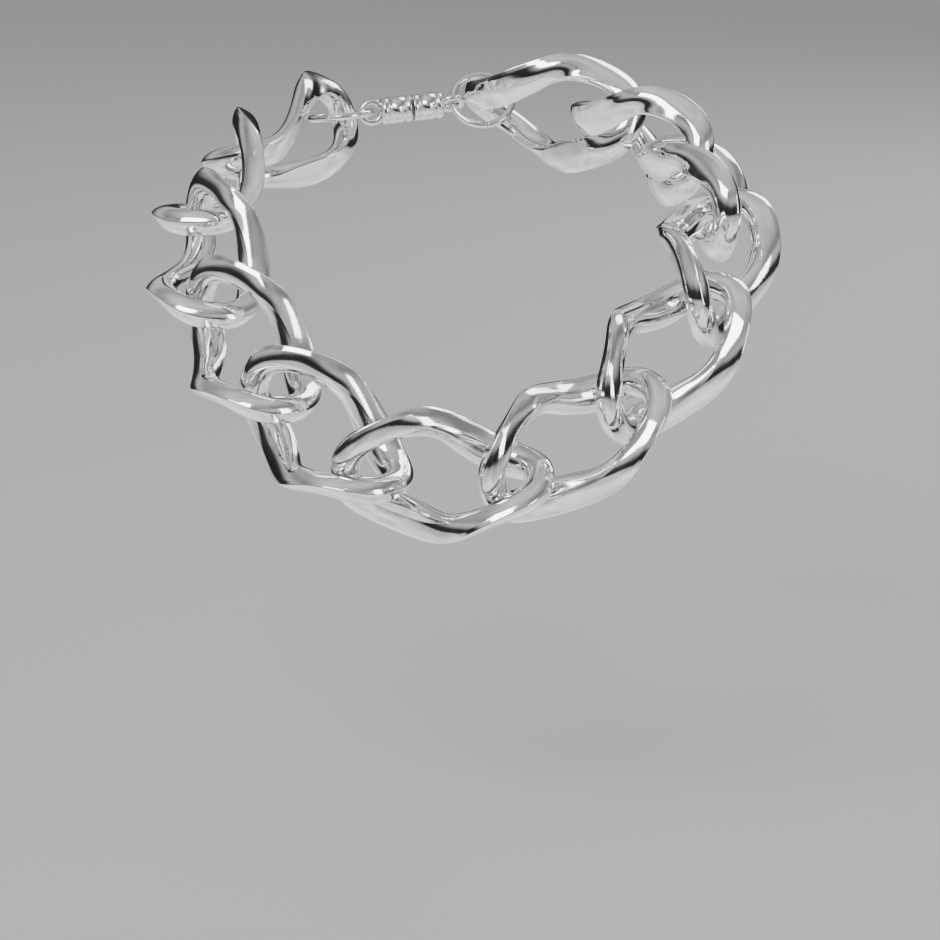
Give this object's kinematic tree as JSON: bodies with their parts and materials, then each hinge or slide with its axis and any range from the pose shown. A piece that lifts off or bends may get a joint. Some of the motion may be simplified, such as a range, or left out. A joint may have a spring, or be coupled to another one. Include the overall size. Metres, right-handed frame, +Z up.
{
  "type": "chain necklace",
  "caption": "Chunky silver curb chain necklace of wide twisted oval links, closed at the nape by jump rings and a magnetic barrel clasp.",
  "frame": {"origin": "on the axis of the wearer's neck, level with the clasp at the nape", "axes": "+X to the wearer's left, -Y to the front, +Z up"},
  "size_m": [0.2008, 0.2107, 0.1281],
  "materials": {
    "silver": "mirror polished, silver tone",
    "clasp_silver": "polished, silver tone",
    "magnet": "satin nickel"
  },
  "bodies": {
    "link_front": {"link_front": "silver"},
    "link_left_1": {"link_left_1": "silver"},
    "link_left_2": {"link_left_2": "silver"},
    "link_left_3": {"link_left_3": "silver"},
    "link_left_4": {"link_left_4": "silver"},
    "link_left_5": {"link_left_5": "silver"},
    "link_left_6": {"link_left_6": "silver"},
    "link_right_1": {"link_right_1": "silver"},
    "link_right_2": {"link_right_2": "silver"},
    "link_right_3": {"link_right_3": "silver"},
    "link_right_4": {"link_right_4": "silver"},
    "link_right_5": {"link_right_5": "silver"},
    "jump_ring_left": {"jump_ring_left": "clasp_silver"},
    "jump_ring_right": {"jump_ring_right": "clasp_silver"},
    "clasp_barrel_left": {"clasp_barrel_left": "clasp_silver", "clasp_magnet_left": "magnet"},
    "clasp_barrel_right": {"clasp_barrel_right": "clasp_silver", "clasp_magnet_right": "magnet"}
  },
  "joints": [
    {"name": "left_1_pivot", "type": "hinge", "parent": "link_front", "child": "link_left_1", "pos_m": [0.01805, -0.11728, -0.08826], "axis": [0.0611, 0.7347, -0.6757], "range_deg": [0, 55]},
    {"name": "left_2_pivot", "type": "hinge", "parent": "link_left_1", "child": "link_left_2", "pos_m": [0.05226, -0.10125, -0.06774], "axis": [0.1744, 0.6084, -0.7743], "range_deg": [0, 40]},
    {"name": "left_3_pivot", "type": "hinge", "parent": "link_left_2", "child": "link_left_3", "pos_m": [0.07727, -0.07574, -0.04206], "axis": [0.4626, 0.3614, -0.8096], "range_deg": [0, 45]},
    {"name": "left_4_pivot", "type": "hinge", "parent": "link_left_3", "child": "link_left_4", "pos_m": [0.08439, -0.03775, -0.02104], "axis": [0.4807, 0.3539, -0.8023], "range_deg": [0, 25]},
    {"name": "left_5_pivot", "type": "hinge", "parent": "link_left_4", "child": "link_left_5", "pos_m": [0.07486, 0.00337, -0.00861], "axis": [0.2787, 0.3365, -0.8995], "range_deg": [0, 16]},
    {"name": "left_6_pivot", "type": "hinge", "parent": "link_left_5", "child": "link_left_6", "pos_m": [0.05206, 0.04039, -0.00182], "axis": [0.0811, 0.2278, -0.9703], "range_deg": [0, 18]},
    {"name": "ring_left_pivot", "type": "hinge", "parent": "link_left_6", "child": "jump_ring_left", "pos_m": [0.00899, 0.06828, 0.00112], "axis": [0.0638, -0.7584, 0.6487], "range_deg": [-45, 45]},
    {"name": "clasp_left_pivot", "type": "hinge", "parent": "jump_ring_left", "child": "clasp_barrel_left", "pos_m": [-0.00056, 0.06673, 0.00025], "axis": [0.0638, -0.7584, 0.6487], "range_deg": [-25, 25]},
    {"name": "right_1_pivot", "type": "hinge", "parent": "link_front", "child": "link_right_1", "pos_m": [-0.02572, -0.11281, -0.08736], "axis": [-0.0531, -0.6698, 0.7406], "range_deg": [0, 55]},
    {"name": "right_2_pivot", "type": "hinge", "parent": "link_right_1", "child": "link_right_2", "pos_m": [-0.0554, -0.08872, -0.0677], "axis": [0.0901, -0.556, 0.8263], "range_deg": [0, 40]},
    {"name": "right_3_pivot", "type": "hinge", "parent": "link_right_2", "child": "link_right_3", "pos_m": [-0.07605, -0.05757, -0.04449], "axis": [0.2816, -0.4463, 0.8494], "range_deg": [0, 40]},
    {"name": "right_4_pivot", "type": "hinge", "parent": "link_right_3", "child": "link_right_4", "pos_m": [-0.08136, -0.01965, -0.02281], "axis": [0.501, -0.3757, 0.7796], "range_deg": [0, 40]},
    {"name": "right_5_pivot", "type": "hinge", "parent": "link_right_4", "child": "link_right_5", "pos_m": [-0.0704, 0.02106, -0.01023], "axis": [0.2212, -0.3417, 0.9134], "range_deg": [0, 40]},
    {"name": "ring_right_pivot", "type": "hinge", "parent": "link_right_5", "child": "jump_ring_right", "pos_m": [-0.03832, 0.0606, -0.0032], "axis": [-0.1066, 0.0992, 0.9893], "range_deg": [-45, 45]},
    {"name": "clasp_right_pivot", "type": "hinge", "parent": "jump_ring_right", "child": "clasp_barrel_right", "pos_m": [-0.02877, 0.06215, -0.00233], "axis": [-0.1066, 0.0992, 0.9893], "range_deg": [-25, 25]}
  ]
}
